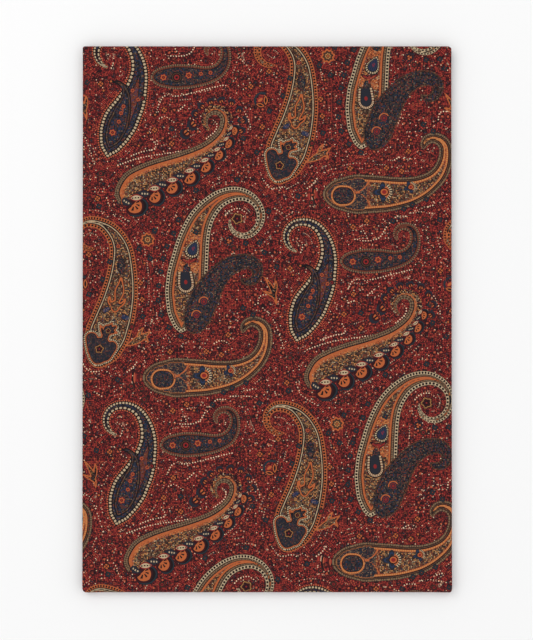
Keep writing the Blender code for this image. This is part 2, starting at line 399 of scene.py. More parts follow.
# Shapes that lie over the large paisleys or between them, some made of several strokes
nestedShapes = {
    "dark paisley": {
        "strokes": [
            ((-60.5, -8.0), 72, [(28, -6), (14, -11), (13, -13), (16, -32), (7, -26), (14, -96), (12, -90),
              (3, -20)],
             [(0, 3.5), (6, 9.5), (12, 12.0), (28, 12.1), (42, 9.8), (55, 8.1), (64, 7.3), (72, 6.6),
              (79, 5.9), (86, 5.0), (92, 4.1), (99, 3.5), (104, 2.6), (107, 1.2)])],
        "bands": [(1.1, "brown", 0.9), (1.7, "black", 0.4), (3.6, "navy", 1.0), (4.2, "black", 0.5),
                  (16.0, "navy", 1.0)],
        "specks": "cool",
    },
    "bud": {
        "strokes": [
            ((25.4, -9.3), 66, [(37, 8), (10, 24), (10, 62), (7, 40)],
             [(0, 1.6), (9, 7.3), (19, 8.8), (31, 7.1), (41, 4.3), (49, 2.6), (55, 1.9), (62, 0.8)])],
        "bands": [(0.9, "black"), (1.9, "brown", 0.8), (2.6, "black", 0.1), (10.0, "navy", 0.9)],
        "specks": "blue",
    },
    "heart": {
        "strokes": [
            ((6.8, 112.4), 72, [(14, 0)], [(0, 1.4), (4, 5.4), (8, 9.0), (11, 11.0), (14, 11.2)]),
            ((5.6, 124.0), 100, [(10, 0)], [(0, 7.0), (5, 7.2), (10, 7.0)]),
            ((14.0, 121.5), 43, [(8.2, 0)], [(0, 8.6), (5, 7.4), (8.2, 6.6)]),
            ((13.6, 130.0), 76, [(12, 0)], [(0, 5.0), (6, 4.8), (12, 5.2)]),
            ((13.4, 138.0), 112, [(9.5, 0)], [(0, 3.8), (5, 3.2), (9.5, 1.5)]),
            ((17.0, 139.0), 66, [(9.5, 0)], [(0, 5.0), (5, 3.8), (9.5, 1.6)]),
            ((17.0, 139.5), 30, [(7, 0)], [(0, 5.0), (7, 3.4)]),
            ((17.0, 139.6), -8, [(9.6, 0)], [(0, 4.6), (5, 3.4), (9.6, 1.6)])],
        "bands": [(1.7, "black"), (2.5, "orange", 0.25), (3.0, "black"), (16.0, "navy", 0.55)],
        "specks": "cool", "beads": (-1.0, 1.75, "cream"),
    },
    "sprig": {
        "strokes": [
            ((23.6, 161.0), 72, [(22, 14)],
             [(0, 2.0), (5, 2.8), (10, 4.4), (14, 4.0), (17, 2.3), (20, 2.0), (22, 1.4)]),
            ((20.6, 161.2), 150, [(7, -80)], [(0, 2.2), (4, 1.9), (7, 1.4)]),
            ((26.2, 160.6), 16, [(7, 60)], [(0, 2.2), (4, 1.9), (7, 1.2)]),
            ((22.8, 155.6), 88, [(5, 0)], [(0, 1.2), (3, 4.2), (5, 4.6)])],
        "bands": [(0.3, "black"), (1.3, "orange"), (1.8, "black", 0.2), (6.0, "brown", 0.9)],
    },
    "seed": {
        "strokes": [
            ((28.0, 187.3), 90, [(12, 4)], [(0, 1.6), (4, 3.7), (8, 3.3), (12, 1.4)])],
        "bands": [(0.6, "black", 0.4), (4.0, "navy", 0.9)],
        "specks": "cool",
    },
    "spots": {
        "strokes": [
            ((14.4, 156.4), 30, [(3, 0)], [(0, 2.1), (3, 2.0)]),
            ((29.8, 151.4), -20, [(3, 0)], [(0, 2.4), (3, 2.2)])],
        "bands": [(0.5, "black", 0.2), (4.0, "blue", 0.35)],
    },
    "oval": {
        "strokes": [
            ((60.2, 100.7), 0, [(3.6, 0)], [(0, 8.4), (3.6, 8.2)])],
        "bands": [(1.4, "orange"), (2.0, "black"), (10.0, "navy", 0.8)],
        "specks": "cool", "beads": (-0.7, 1.6, "amber"),
    },
    "crossed vine": {
        "strokes": [
            ((69.2, 106.4), -38, [(8, 10), (12, -46)], [(0, 0.6), (12, 0.6), (20, 0.8)]),
            ((69.2, 100.4), 38, [(8, -10), (11, 46)], [(0, 0.6), (12, 0.6), (19, 0.8)])],
        "bands": [(2.2, "orange", 0.2)],
    },
    "sepals": {
        "strokes": [
            ((-64.6, 46.8), 158, [(7, -20)], [(0, 1.3), (3, 1.7), (7, 0.4)]),
            ((-62.4, 46.8), 24, [(7, 20)], [(0, 1.3), (3, 1.7), (7, 0.4)]),
            ((-63.5, 43.5), 90, [(5, 0)], [(0, 1.1), (5, 1.3)])],
        "bands": [(0.5, "black"), (3.0, "red", 0.3)],
    },
    "vase": {
        "strokes": [
            ((-66.0, 31.0), 86, [(15, 0)], [(0, 4.2), (6, 2.8), (10, 3.6), (15, 0.8)])],
        "bands": [(0.5, "black"), (6.0, "navy", 0.9)],
        "specks": "cool",
    },
    "leaf": {
        "strokes": [
            ((7.3, 12.5), 98, [(10, 12), (15, 22)], [(0, 0.7), (8, 1.9), (16, 1.8), (25, 0.5)]),
            ((6.2, 22.0), 74, [(11, 30)], [(0, 1.6), (6, 1.6), (11, 0.4)]),
            ((6.0, 18.0), 142, [(11, 20)], [(0, 1.4), (6, 1.5), (11, 0.4)])],
        "bands": [(0.7, "orange", 0.1), (3.0, "black", 0.5)],
    },
    "fish": {
        "strokes": [
            ((-115.5, -21.5), 22, [(24, 16)], [(0, 0.5), (8, 2.8), (14, 3.2), (19, 1.8), (24, 0.5)]),
            ((-101.0, -13.0), -40, [(8, -30)], [(0, 1.9), (4, 1.5), (8, 0.4)]),
            ((-104.0, -12.0), 70, [(7, -30)], [(0, 1.9), (4, 1.3), (7, 0.4)])],
        "bands": [(0.8, "orange", 0.1), (4.0, "brown", 0.9)],
    },
}

# The scallops of one paisley: where each starts along the spine, and its size
scallops = [(10.5, 6.5), (28.0, 6.2), (44.0, 5.8), (59.5, 5.5), (74.0, 5.0), (87.0, 4.3), (98.0, 3.7),
            (106.5, 3.2)]
# In scallop sizes: their spacing, how far outside the edge a middle lies; in spacings, how far the row
# goes on before the first middle and after the last
scallopRow = {"spacing": 2.75, "middle": 0.62, "before": 0.6, "after": 0.75}

# Small ornaments, stamped all over: kind, radius, turn and places
ornaments = [
    ("squareFlower", 2.6, 8, [(-138.0, 98.3), (-103.1, 29.9), (-101.7, 16.2), (-79.0, -26.2),
        (-37.2, -28.7), (81.0, 80.1), (69.8, 75.2), (18.5, 41.7), (70.2, 20.5), (62.4, 4.3), (76.2, -7.0),
        (-31.7, -12.4), (140.6, 39.6), (-49.5, -26.0), (149.9, 6.9), (-145.0, 52.7)]),
    ("dot", 1.4, 0, [(-29.8, -3.1), (-31.3, -24.8), (87.0, 75.2), (64.8, 80.6), (20.9, 36.3), (27.0, 43.7),
        (62.8, 16.6), (56.9, 1.9), (49.5, -8.5), (9.7, 6.3), (139.6, 32.3), (148.1, 40.0), (147.0, -2.0),
        (-99.7, 45.6), (-54.4, -27.7)]),
    ("blueFlower", 2.7, 20, [(-91.4, 72.3), (-104.1, 57.5), (-136.6, 91.9), (-128.1, 47.0), (-133.8, 32.6),
        (-144.7, 20.3), (-101.2, 2.4), (-17.5, 61.9), (-6.2, 62.4), (1.2, 87.9), (-19.5, 9.3),
        (-11.6, 3.8), (-2.3, 54.5), (-24.4, 113.6), (-72.1, 81.1), (-95.2, 49.6), (7.7, 42.7),
        (25.0, 100.3), (76.2, 5.3), (118.0, 93.4), (129.3, 97.8), (140.2, 81.1), (145.5, -13.9),
        (-76.0, 70.0), (-81.5, 59.5), (-84.5, 49.5), (-86.5, 39.0), (-88.0, 27.5), (-88.5, 15.6),
        (-86.2, 3.8), (-79.9, -6.5), (-70.2, -13.5), (111.0, 90.0), (102.0, 80.0), (-58.0, 105.0),
        (132.0, 12.0), (134.5, -2.5), (-57.8, 71.0)]),
    ("ring", 2.4, 0, [(-92.8, 83.6), (44.7, 93.0), (46.6, 84.0), (18.5, -31.1), (128.1, 81.1),
        (131.2, 69.4), (129.3, 49.6), (123.4, 43.7), (-27.0, 58.0), (52.5, 30.0), (-110.0, -6.0),
        (36.0, 95.0)]),
    ("quatrefoil", 6.2, 10, [(-97.2, 64.9)]),
    ("pansy", 8.2, -88, [(94.0, 103.6)]),
    ("pansy", 5.3, -70, [(116.0, 107.4)]),
    ("horseshoe", 10.4, 4, [(-66.2, 30.4)]),
    ("teardrop", 8.6, -24, [(-60.2, 57.6)]),
    ("leaves", 6.8, 0, [(149.8, 28.4)]),
    ("dottedFlower", 5.6, 40, [(-24.4, 82.0)]),
    ("dottedFlower", 4.3, 10, [(10.1, 125.2)]),
    ("dottedFlower", 2.7, 10, [(17.2, 140.0)]),
    ("sunflower", 3.8, 10, [(-31.0, 63.7)]),
    ("curl", 4.6, 20, [(-57.5, 3.5), (-51.5, 14.5)]),
    ("rosette", 3.9, 15, [(28.2, 2.2), (69.6, 47.0), (90.1, 48.6)]),
    ("ring", 4.4, 0, [(80.3, 47.0)]),
    ("rosette", 2.5, 15, [(33.3, 11.0), (35.1, 17.9), (37.1, 23.4), (44.5, 36.2), (49.0, 29.0),
        (100.0, 49.9), (107.8, 50.7), (25.5, 208.8)]),
    ("shell", 3.2, -60, [(-20.6, 153.5), (-19.0, 162.0)]),
    ("shell", 3.1, -10, [(-22.6, 170.4), (-28.8, 176.4)]),
    ("shell", 3.1, 20, [(-37.6, 178.0), (-46.1, 177.0)]),
    ("shell", 3.2, 60, [(-53.3, 173.3), (-58.7, 167.4)]),
    ("shell", 4.6, 130, [(-60.8, 158.0), (-66.6, 151.0)]),
]

# Rows of pin dots that wander over the ground, each a few points joined by a smooth line
pinDots = {
    "pitch": 2.2, "radius": 0.28,  # the radius is a share of the pitch
    "rows": [
        [(76.2, 77.1), (78.6, 71.9), (81.0, 66.3)],
        [(70.2, 65.4), (80.2, 64.1), (90.8, 66.3), (96.8, 75.2)],
        [(93.4, 82.1), (98.7, 78.1), (105.6, 84.0), (113.5, 84.0)],
        [(115.5, 86.5), (125.7, 87.3), (136.3, 86.0)],
        [(129.3, 91.2), (136.0, 93.2)],
        [(125.4, 79.0), (129.6, 72.3), (131.3, 63.4), (136.2, 57.5)],
        [(65.3, 24.0), (70.2, 31.9), (81.0, 31.9), (90.9, 33.9), (105.6, 37.8), (118.4, 40.8)],
        [(81.0, 19.1), (87.0, 24.5)],
        [(65.3, 13.2), (71.3, 15.0), (78.1, 10.7)],
        [(60.4, -2.6), (63.3, -10.5), (52.5, -13.4), (41.7, -17.3)],
        [(31.5, -24.8), (51.0, -18.3), (76.2, -14.2), (93.9, -11.4)],
        [(-7.6, 12.2), (-5.7, 19.1), (3.1, 19.6), (8.0, 17.5)],
        [(-2.8, 8.3), (3.3, 3.3), (9.2, -10.5), (13.6, -24.2)],
        [(-4.7, 115.5), (2.3, 107.2), (13.2, 107.6), (18.1, 105.7)],
        [(31.8, 106.0), (36.8, 109.8), (40.7, 115.0)],
        [(5.3, 90.9), (13.2, 86.0)],
        [(-130.9, 99.8), (-125.8, 88.1), (-113.0, 80.1)],
        [(103.7, -3.4), (111.5, 3.3), (113.0, 9.2), (109.0, 13.0)],
        [(135.2, 20.1), (139.1, 11.2), (141.0, 3.0)],
        [(-34.5, 84.0), (-30.0, 88.5), (-22.5, 90.0), (-16.0, 86.0)],
        [(24.0, 66.5), (29.0, 61.0), (27.0, 54.0)],
        [(-115.0, 40.0), (-111.0, 47.0), (-112.5, 54.0)],
        [(-44.0, -20.0), (-37.5, -17.0), (-31.0, -19.5)],
    ],
}

beadInks = ["black", "cream", "orange", "amber", "sand", "rust", "ember"]
farOff = 9.0  # stored where nothing of a kind comes near


def spineOf(start, heading, bends):
    # points, headings and lengths along a spine of bends, a point every millimetre or so
    x, y = start
    heading = math.radians(heading)
    points, headings, lengths = [(x, y)], [heading], [0.0]
    for length, turn in bends:
        count = max(1, round(length))
        step, halfTurn = length / count, math.radians(turn) / count / 2
        for _ in range(count):
            heading += halfTurn
            x += math.cos(heading) * step
            y += math.sin(heading) * step
            heading += halfTurn
            points.append((x, y))
            headings.append(heading)
            lengths.append(lengths[-1] + step)
    return np.array(points), np.array(headings), np.array(lengths)


def strokeOf(start, heading, bends, halfWidths):
    # the spine with its half widths, and the length of its left and right edges
    points, headings, along = spineOf(start, heading, bends)
    at, half = np.array(halfWidths, float).T
    radius = np.interp(along, at, half)
    for _ in range(printLayout["softenings"]):
        radius[1:-1] = (radius[:-2] + radius[1:-1] * 2 + radius[2:]) / 4
    slope = np.clip(np.gradient(radius, along), -0.95, 0.95)
    tangent = np.stack([np.cos(headings), np.sin(headings)], axis=1)
    normal = np.stack([-tangent[:, 1], tangent[:, 0]], axis=1)
    edges = {}
    for name, side in (("left", 1), ("right", -1)):
        outward = -slope[:, None] * tangent + side * np.sqrt(1 - slope**2)[:, None] * normal
        edges[name] = runningLength(points + radius[:, None] * outward)
    return {"points": points, "radius": radius, "tangent": tangent, "along": along, "slope": slope,
            "edges": edges}


def smoothLine(points, step=0.5):
    # a smooth line through a few points, as a stroke without width
    points = np.array(points, float)
    padded = np.vstack([2 * points[0] - points[1], points, 2 * points[-1] - points[-2]])
    line = []
    for a, b, c, d in zip(padded, padded[1:], padded[2:], padded[3:]):
        for t in np.linspace(0, 1, max(2, round(np.linalg.norm(c - b) / step)), endpoint=False):
            line.append(0.5 * (2 * b + (c - a) * t + (2 * a - 5 * b + 4 * c - d) * t**2
                               + (3 * b - a - 3 * c + d) * t**3))
    line = np.array(line + [points[-1]])
    steps = np.diff(line, axis=0)
    tangent = steps / np.linalg.norm(steps, axis=1)[:, None]
    along, zero = runningLength(line), np.zeros(len(line))
    return {"points": line, "radius": zero, "tangent": np.vstack([tangent, tangent[-1:]]), "along": along,
            "slope": zero, "edges": {"left": along, "right": along}}


def measureStroke(stroke, places):
    # distance from the stroke's edge, place along its spine, place across it, length along its edge,
    # and the stroke's half width there
    delta = places[:, None, :] - stroke["points"][None, :, :]
    distance = np.hypot(delta[..., 0], delta[..., 1]) - stroke["radius"][None, :]
    last = len(stroke["radius"]) - 1
    nearest = np.argmin(distance, axis=1)
    row = np.arange(len(places))
    here = distance[row, nearest]
    before = distance[row, np.maximum(nearest - 1, 0)]
    after = distance[row, np.minimum(nearest + 1, last)]
    bend = before - 2 * here + after
    inner = (nearest > 0) & (nearest < last) & (bend > 1e-6)
    shift = np.where(inner, np.clip((before - after) / (2 * np.where(inner, bend, 1.0)), -0.5, 0.5), 0.0)
    here = here - np.where(inner, (before - after) * shift / 4, 0.0)
    low = np.clip(np.floor(nearest + shift).astype(int), 0, last - 1)
    part = nearest + shift - low

    def along(values):
        return values[low] * (1 - part) + values[low + 1] * part

    spineX, spineY = (along(stroke["points"][:, axis]) for axis in (0, 1))
    toX, toY = places[:, 0] - spineX, places[:, 1] - spineY
    tangentX, tangentY = stroke["tangent"][nearest].T
    ahead = toX * tangentX + toY * tangentY
    across = tangentX * toY - tangentY * toX
    edge = np.where(across > 0, along(stroke["edges"]["left"]), along(stroke["edges"]["right"]))
    # the edge's length goes on round both ends of the stroke
    angle = np.abs(np.arctan2(np.abs(across), ahead))
    beyond = np.arccos(-stroke["slope"][nearest])
    outside = np.maximum(here - printLayout["endReach"], 0.0)
    start, stop = stroke["radius"][0] + outside, stroke["radius"][-1] + outside
    edge = edge - np.where(nearest == 0, np.maximum(angle - beyond, 0) * start, 0.0)
    edge = edge + np.where(nearest == last, np.maximum(beyond - angle, 0) * stop, 0.0)
    return here, along(stroke["along"]), across, edge, along(stroke["radius"])


def sortPlaces(places):
    # places sorted along the cloth, so that those near a motif are found quickly
    order = np.argsort(places[:, 1], kind="stable")
    return {"all": places, "order": order, "across": places[order, 0], "along": places[order, 1],
            "low": places.min(axis=0), "high": places.max(axis=0)}


def placesNear(cloth, low, high, margin):
    # indices of the places inside a box
    if np.any(high + margin < cloth["low"]) or np.any(low - margin > cloth["high"]):
        return np.zeros(0, int)
    first, last = np.searchsorted(cloth["along"], (low[1] - margin, high[1] + margin))
    across = cloth["across"][first:last]
    return cloth["order"][first:last][(across > low[0] - margin) & (across < high[0] + margin)]


def repeatsOver(cloth):
    # every step of the print's repeat that can reach these places
    first, second = np.array(printLayout["first"]), np.array(printLayout["second"])
    low, high = cloth["low"] - printLayout["reach"], cloth["high"] + printLayout["reach"]
    counts = range(-printLayout["copies"], printLayout["copies"] + 1)
    for step in (i * first + j * second for i in counts for j in counts):
        if np.all(step > low) and np.all(step < high):
            yield step


def strokesOver(strokes, cloth, margin):
    # each copy of each stroke that comes near the places, with those places measured from it
    steps = list(repeatsOver(cloth))
    for stroke in strokes:
        reach = stroke["radius"].max() + margin
        low, high = stroke["points"].min(axis=0), stroke["points"].max(axis=0)
        for step in steps:
            near = placesNear(cloth, low + step, high + step, reach)
            for chunk in np.array_split(near, max(1, len(near) // printLayout["chunk"])):
                if len(chunk):
                    yield stroke, chunk, measureStroke(stroke, cloth["all"][chunk] - step)


def blank(cloth, *values):
    return np.tile(values, (len(cloth["all"]), 1))


def beadsAt(distance, edge, row):
    # a row of beads as places in units of its pitch: along, across, and the number of the bead's ink
    at, pitch, name = row
    number = np.full_like(edge, beadInks.index(name))
    return np.stack([edge / pitch, (distance - at) / pitch, number], axis=1)


def bandDepth(shape, depth, radius):
    # thins the bands where a shape is too narrow for them, and those past "kept" first
    room = radius * shape.get("room", 1.0)
    kept, deepest = shape["kept"], shape["bands"][-1][0]
    narrowed = np.maximum(1.0, kept / (printLayout["keptShare"] * room))
    depth = np.where(depth > 0, depth * narrowed, depth)
    thinned = np.maximum(1.0, (deepest - kept) / np.maximum(room - kept, printLayout["leastRoom"]))
    return np.where(depth > kept, kept + (depth - kept) * thinned, depth)


def largeFields(cloth):
    edge = blank(cloth, 0.0, printLayout["outside"] + farOff, -1.0)
    spine = blank(cloth, 0.0, 0.0, -1.0)
    beads = [blank(cloth, 0.0, farOff, 0.0) for _ in range(2)]
    scallop = blank(cloth, -farOff, printLayout["outside"], 1.0)
    for kind, shape in enumerate(largePaisleys.values()):
        strokes = [strokeOf(*stroke) for stroke in shape["strokes"]]
        for stroke, near, measures in strokesOver(strokes, cloth, printLayout["outside"]):
            if "scalloped" in shape:
                addScallops(scallop, near, stroke, measures)
            nearer = measures[0] < edge[near, 1]
            mine = near[nearer]
            distance, along, across, length, radius = (v[nearer] for v in measures)
            edge[mine] = np.stack([length, distance, np.full_like(length, kind)], axis=1)
            depth = -distance
            if "scalloped" in shape:  # bands on its left side only
                depth = np.where(across > 0, -distance, 2 * np.abs(across) - distance)
            depth = bandDepth(shape, depth, radius)
            if "plainStart" in shape:
                plainTo, deeperThan = shape["plainStart"]
                isPlain = (along < plainTo) & (depth > deeperThan)
                depth = np.where(isPlain, depth + shape["bands"][-1][0], depth)
            spine[mine] = np.stack([along, across, depth], axis=1)
            beads[1][mine] = [0.0, farOff, 0.0]
            for rows, row in zip(beads, shape["beads"]):
                rows[mine] = beadsAt(-depth, length, row)
                if "scalloped" in shape:
                    rows[mine[across < 0], 1] = farOff
    return {"printEdge": edge, "printSpine": spine, "printBeads": beads[0], "printBeadsTwo": beads[1],
            "printScallop": scallop}


def addScallops(scallop, near, stroke, measures):
    # number of the scallop, distance from the edge, its size
    distance, _, across, length, _ = measures
    starts, sizes = np.array(scallops).T
    edgeAtStart = np.interp(starts, stroke["along"], stroke["edges"]["right"])
    before = (length - edgeAtStart[0]) / (sizes[0] * scallopRow["spacing"]) + 1
    after = (length - edgeAtStart[-1]) / (sizes[-1] * scallopRow["spacing"]) + len(scallops)
    number = np.interp(length, edgeAtStart, np.arange(1, len(scallops) + 1))
    number = np.where(length < edgeAtStart[0], before, number)
    number = np.where(length > edgeAtStart[-1], after, number)
    ours = (across < 0) & (distance < scallop[near, 1]) & (distance > -farOff)
    size = np.interp(length[ours], edgeAtStart, sizes)
    scallop[near[ours]] = np.stack([number[ours], distance[ours], size], axis=1)


def nestedFields(cloth):
    nested, beads = blank(cloth, 0.0, farOff, -1.0), blank(cloth, 0.0, farOff, 0.0)
    for kind, shape in enumerate(nestedShapes.values()):
        strokes = [strokeOf(*stroke) for stroke in shape["strokes"]]
        for _, near, measures in strokesOver(strokes, cloth, printLayout["nestedOutside"]):
            nearer = measures[0] < nested[near, 1]
            mine = near[nearer]
            distance, _, _, length, _ = (v[nearer] for v in measures)
            nested[mine] = np.stack([length, distance, np.full_like(length, kind)], axis=1)
            beads[mine, 1] = farOff
            if "beads" in shape:
                beads[mine] = beadsAt(distance, length, shape["beads"])
    return {"printNested": nested, "printNestedBeads": beads}


def ornamentFields(cloth):
    # places in each ornament's own round frame, 1 at its rim, and how far outside its rim they lie
    local, kinds = blank(cloth, 0.0, 0.0, farOff), np.full(len(cloth["all"]), -1.0)
    steps = list(repeatsOver(cloth))
    for name, radius, turn, centres in ornaments:
        c, s = math.cos(math.radians(turn)), math.sin(math.radians(turn))
        for centre in (np.array(place) + step for place in centres for step in steps):
            near = placesNear(cloth, centre, centre, radius + printLayout["ornamentOutside"])
            if not len(near):
                continue
            dx, dy = (cloth["all"][near] - centre).T
            outside = np.hypot(dx, dy) - radius
            ours = outside < local[near, 2]
            mine, dx, dy = near[ours], dx[ours] / radius, dy[ours] / radius
            local[mine] = np.stack([dx * c + dy * s, dy * c - dx * s, outside[ours]], axis=1)
            kinds[mine] = ornamentKinds.index(name)
    return {"printOrnament": local, "printOrnamentKind": kinds}


def pinDotFields(cloth):
    dots, pitch = blank(cloth, 0.0, farOff, 0.0), pinDots["pitch"]
    strokes = [smoothLine(row) for row in pinDots["rows"]]
    for _, near, (distance, along, _, _, _) in strokesOver(strokes, cloth, printLayout["ornamentOutside"]):
        ours = distance < dots[near, 1]
        dots[near[ours], :2] = np.stack([along[ours] / pitch, distance[ours] / pitch], axis=1)
    return {"printPinDots": dots}


def addPrint(piece, across, along, hasEndHem):
    # stores the print's measures and the distance from the raw edge on every point of a sheet
    places = np.stack([across.ravel(), np.broadcast_to(along[:, None], across.shape).ravel()], axis=1)
    cloth = sortPlaces(places)
    inset = np.minimum(across - across[:, :1], across[:, -1:] - across)
    if hasEndHem:  # at the sheet's last row
        inset = np.minimum(inset, np.abs(along - along[-1])[:, None])
    fields = {"printPlace": np.column_stack([places, inset.ravel()])}
    for measure in (largeFields, nestedFields, ornamentFields, pinDotFields):
        fields.update(measure(cloth))
    for name, values in fields.items():
        kind, key = ("FLOAT", "value") if values.ndim == 1 else ("FLOAT_VECTOR", "vector")
        layer = piece.data.attributes.new(name, kind, "POINT")
        layer.data.foreach_set(key, values.astype(np.float32).ravel())


# Print colours, as red, green and blue out of 255
inks = {
    "ground": (84, 26, 28), "maroon": (52, 20, 25), "dark": (30, 21, 24), "bright": (160, 58, 47),
    "ember": (178, 86, 58), "black": (25, 20, 23), "cream": (184, 160, 128), "pale": (226, 194, 160),
    "sand": (120, 97, 74), "amber": (190, 130, 76), "orange": (176, 92, 52), "rust": (112, 52, 38),
    "brown": (78, 55, 42), "navy": (38, 39, 47), "blue": (40, 52, 80), "teal": (36, 46, 53),
    "red": (130, 37, 36),
}


def ink(name):
    # an ink as a linear colour
    def linear(value):
        value = value / 255
        return value / 12.92 if value < 0.04045 else ((value + 0.055) / 1.055) ** 2.4

    return tuple(linear(v) for v in inks[name]) + (1.0,)


class Wire:
    # the output of a node, used in sums like a number; a mask is 1 inside and 0 outside
    def __init__(self, socket):
        self.socket = socket

    def __add__(self, other):
        return calc("ADD", self, other)

    def __sub__(self, other):
        return calc("SUBTRACT", self, other)

    def __rsub__(self, other):
        return calc("SUBTRACT", other, self)

    def __mul__(self, other):
        return calc("MULTIPLY", self, other)

    def __and__(self, other):
        return calc("MULTIPLY", self, other)

    def __truediv__(self, other):
        return calc("DIVIDE", self, other)

    def __lt__(self, other):
        return calc("LESS_THAN", self, other)

    def __gt__(self, other):
        return calc("GREATER_THAN", self, other)


def feed(socket, value):
    # gives a node's input a wire, an ink by its name, or a number
    if isinstance(value, Wire):
        socket.id_data.links.new(value.socket, socket)
    else:
        socket.default_value = ink(value) if isinstance(value, str) else value


def newNode(kind, fed, **settings):
    # a node in the tree of the wires that feed it
    tree = next(value.socket.id_data for value in fed.values() if isinstance(value, Wire))
    node = tree.nodes.new("ShaderNode" + kind)
    for name, value in settings.items():
        setattr(node, name, value)
    for key, value in fed.items():
        feed(node.inputs[key], value)
    return node


def calc(operation, *values):
    return Wire(newNode("Math", dict(enumerate(values)), operation=operation).outputs[0])


def stored(tree, name, output="Vector"):
    # a measure that addPrint left on the cloth
    node = tree.nodes.new("ShaderNodeAttribute")
    node.attribute_name = name
    return Wire(node.outputs[output])


def split(vector):
    return [Wire(part) for part in newNode("SeparateXYZ", {0: vector}).outputs]


def blend(share, under, over):
    # from one ink to another
    return Wire(newNode("Mix", {0: share, 6: under, 7: over}, data_type="RGBA").outputs[2])


def choose(share, under, over):
    # the same for plain numbers
    return Wire(newNode("Mix", {0: share, 2: under, 3: over}).outputs[0])


def paint(colour, *layers):
    # lays an ink over another wherever its mask is
    for mask, name in layers:
        colour = blend(mask, colour, name)
    return colour


def stacked(*layers):
    # masks with their inks, one over another, and all that they cover
    cover = 0.0
    for mask, _ in layers:
        cover = calc("MAXIMUM", mask, cover)
    return paint("black", *layers), cover


def groupOf(name, measures, build):
    # a node group that makes an ink, and how much it covers, from these numbers. Without any, what builds
    # it is handed the group itself.
    group = bpy.data.node_groups.new(name, "ShaderNodeTree")
    for measure in measures:
        group.interface.new_socket(name=measure, in_out="INPUT", socket_type="NodeSocketFloat")
    group.interface.new_socket(name="Ink", in_out="OUTPUT", socket_type="NodeSocketColor")
    group.interface.new_socket(name="Cover", in_out="OUTPUT", socket_type="NodeSocketFloat")
    fed = group.nodes.new("NodeGroupInput")
    given = group.nodes.new("NodeGroupOutput")
    wires = [Wire(fed.outputs[measure]) for measure in measures] or [group]
    for socket, value in zip(given.inputs, build(*wires)):
        feed(socket, value)
    return group


def useGroup(group, *values):
    node = newNode("Group", dict(enumerate(values)), node_tree=group)
    return Wire(node.outputs["Ink"]), Wire(node.outputs["Cover"])


def steppedInks(value, low, high, steps, plain=1.0):
    # one ink after another over a range: steps are (up to, ink, alpha), and the last one goes on
    ramp = newNode("ValToRGB", {0: (value - low) * (1 / (high - low))})
    ramp.color_ramp.interpolation = "CONSTANT"
    elements = ramp.color_ramp.elements
    while len(elements) > 1:
        elements.remove(elements[-1])
    starts = [low] + [step[0] for step in steps[:-1]]
    for start, (_, name, *alpha) in zip(starts, steps):
        position = (start - low) / (high - low)
        element = elements[0] if start == low else elements.new(position)
        element.position = position
        element.color = ink(name)[:3] + (alpha[0] if alpha else plain,)
    return Wire(ramp.outputs["Color"]), Wire(ramp.outputs["Alpha"])


def cells(place, size, randomness=1.0):
    # how far the nearest cell's middle is, in cells, and random numbers of that cell
    node = newNode("TexVoronoi", {"Vector": place, "Scale": 1 / size, "Randomness": randomness},
                   voronoi_dimensions="2D")
    return Wire(node.outputs["Distance"]), split(Wire(node.outputs["Color"]))


def scattered(place, size, radius, share):
    # dots in a share of the cells
    reach, (chance, _, _) = cells(place, size)
    return (reach < radius) & (chance < share)


def cloudy(place, size, detail):
    fed = {"Vector": place, "Scale": 1 / size, "Detail": detail}
    return Wire(newNode("TexNoise", fed, noise_dimensions="2D").outputs[0])


def fromMiddle(value):
    # place within a repeat, from -0.5 to 0.5
    return calc("FRACT", value) - 0.5


def absolute(value):
    return calc("ABSOLUTE", value)


def around(value, middle, reach):
    return calc("COMPARE", value, middle, reach)


def wave(angle, count):
    return calc("COSINE", angle * float(count))


def roundness(x, y):
    return calc("SQRT", x * x + y * y)


def turned(x, y, degrees, centre=(0.0, 0.0), halves=(1.0, 1.0)):
    # x and y in a frame turned about a centre and measured in its half lengths
    dx, dy = x - centre[0], y - centre[1]
    c, s = math.cos(math.radians(degrees)), math.sin(math.radians(degrees))
    return dx * (c / halves[0]) + dy * (s / halves[0]), dy * (c / halves[1]) - dx * (s / halves[1])


# Dots of ink all over the ground and specks within the shapes: sizes in millimetres, radii in cells.
# The dots' inks are (up to this share of them, ink).
groundDots = {
    "size": 1.3, "radius": 0.39, "randomness": 0.32, "besideOutlines": 12.0,
    "inks": [(0.50, "bright"), (0.58, "ember"), (0.84, "red"), (0.93, "dark"), (1.0, "ground")],
    "clouds": {"size": 8.0, "detail": 2.0}, "cloudLevel": 0.5, "cloudMaroon": 0.80, "plainMaroon": 0.45,
    "blots": {"size": 2.3, "radius": 0.40, "share": 0.40}, "blotStrength": 0.70,
    "pale": {"size": 5.0, "radius": 0.086, "share": 0.30},
}
groundRings = {
    "size": 5.8, "randomness": 0.85, "share": 0.62, "radius": 1.75, "width": 0.50, "strength": 0.68,
    "middle": 0.75, "inks": [(0.40, "teal"), (0.62, "ember"), (0.80, "rust"), (1.0, "dark")],
}
specks = {"size": 1.1, "radius": 0.42, "randomness": 0.6}
speckInks = {
    "warm": [(0.30, "black"), (0.50, "rust"), (0.72, "sand"), (0.75, "blue"), (0.95, "amber"), (1, "cream")],
    "cool": [(0.28, "black"), (0.56, "brown"), (0.63, "blue"), (0.81, "rust"), (0.93, "teal"), (1, "sand")],
    "blue": [(0.26, "black"), (0.40, "brown"), (0.70, "blue"), (0.84, "rust"), (0.91, "teal"), (1, "sand")],
}


